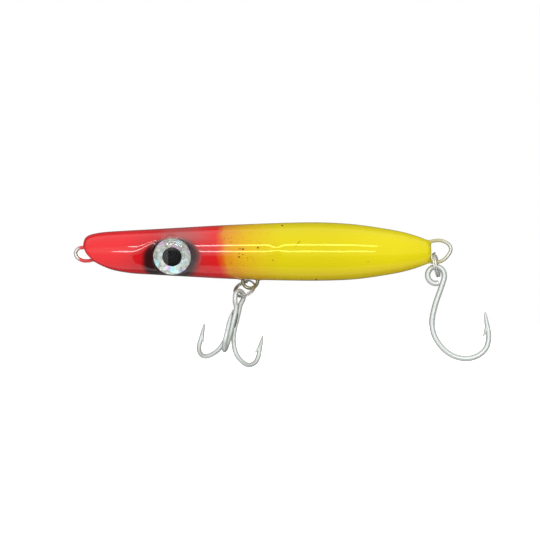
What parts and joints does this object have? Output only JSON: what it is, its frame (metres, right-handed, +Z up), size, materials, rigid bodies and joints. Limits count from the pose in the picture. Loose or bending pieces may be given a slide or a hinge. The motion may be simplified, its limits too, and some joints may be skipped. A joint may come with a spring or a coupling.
{
  "type": "topwater stickbait lure",
  "caption": "Slant-nosed wooden surface fishing lure on a through-wire, with foil eyes, a treble hook on a belly split ring and a single hook on a tail split ring",
  "frame": {"origin": "centre of the wire loop at the nose, where the line is tied", "axes": "+X from nose to tail, +Z up towards the lure's back, -Y towards its left side"},
  "size_m": [0.1789, 0.0397, 0.0615],
  "materials": {
    "painted_body": "red head fading to yellow, under a thick high-gloss clear coat",
    "frame_wire": "drawn stainless wire with paint overspray near the body",
    "ballast": "cast lead, dull grey",
    "eye_foil": "silver holographic crackle foil",
    "eye_pupil": "black",
    "eye_resin": "clear glossy resin",
    "split_ring": "polished spring steel wire",
    "hook_steel": "satin tinned steel",
    "braze": "filler metal under the hook's tin plating"
  },
  "bodies": {
    "root": {"body_left_half": "painted_body", "body_right_half": "painted_body", "through_wire": "frame_wire", "belly_hanger": "frame_wire", "nose_ballast": "ballast", "belly_ballast": "ballast", "tail_ballast": "ballast", "left_eye_foil": "eye_foil", "left_eye_pupil": "eye_pupil", "left_eye_dome": "eye_resin", "right_eye_foil": "eye_foil", "right_eye_pupil": "eye_pupil", "right_eye_dome": "eye_resin"},
    "belly_ring": {"belly_split_ring": "split_ring"},
    "treble": {"treble_double_hook": "hook_steel", "treble_third_hook": "hook_steel", "treble_braze": "braze"},
    "tail_ring": {"tail_split_ring": "split_ring"},
    "tail_hook": {"single_hook": "hook_steel"}
  },
  "joints": [
    {"name": "belly_ring_turn", "type": "hinge", "parent": "root", "child": "belly_ring", "pos_m": [0.0725, 0, -0.0146], "axis": [0, 0, -1], "range_deg": [-3, 100]},
    {"name": "treble_swing", "type": "hinge", "parent": "belly_ring", "child": "treble", "pos_m": [0.06801, -0.00414, -0.0179], "axis": [0.8093, -0.5843, -0.0604], "range_deg": [-45, 60]},
    {"name": "tail_ring_swing", "type": "hinge", "parent": "root", "child": "tail_ring", "pos_m": [0.1522, 0, -0.0034], "axis": [1, 0, 0], "range_deg": [-70, 70]},
    {"name": "single_hook_swing", "type": "hinge", "parent": "tail_ring", "child": "tail_hook", "pos_m": [0.1521, 0, -0.009], "axis": [0, 1, 0], "range_deg": [-90, 75]}
  ]
}
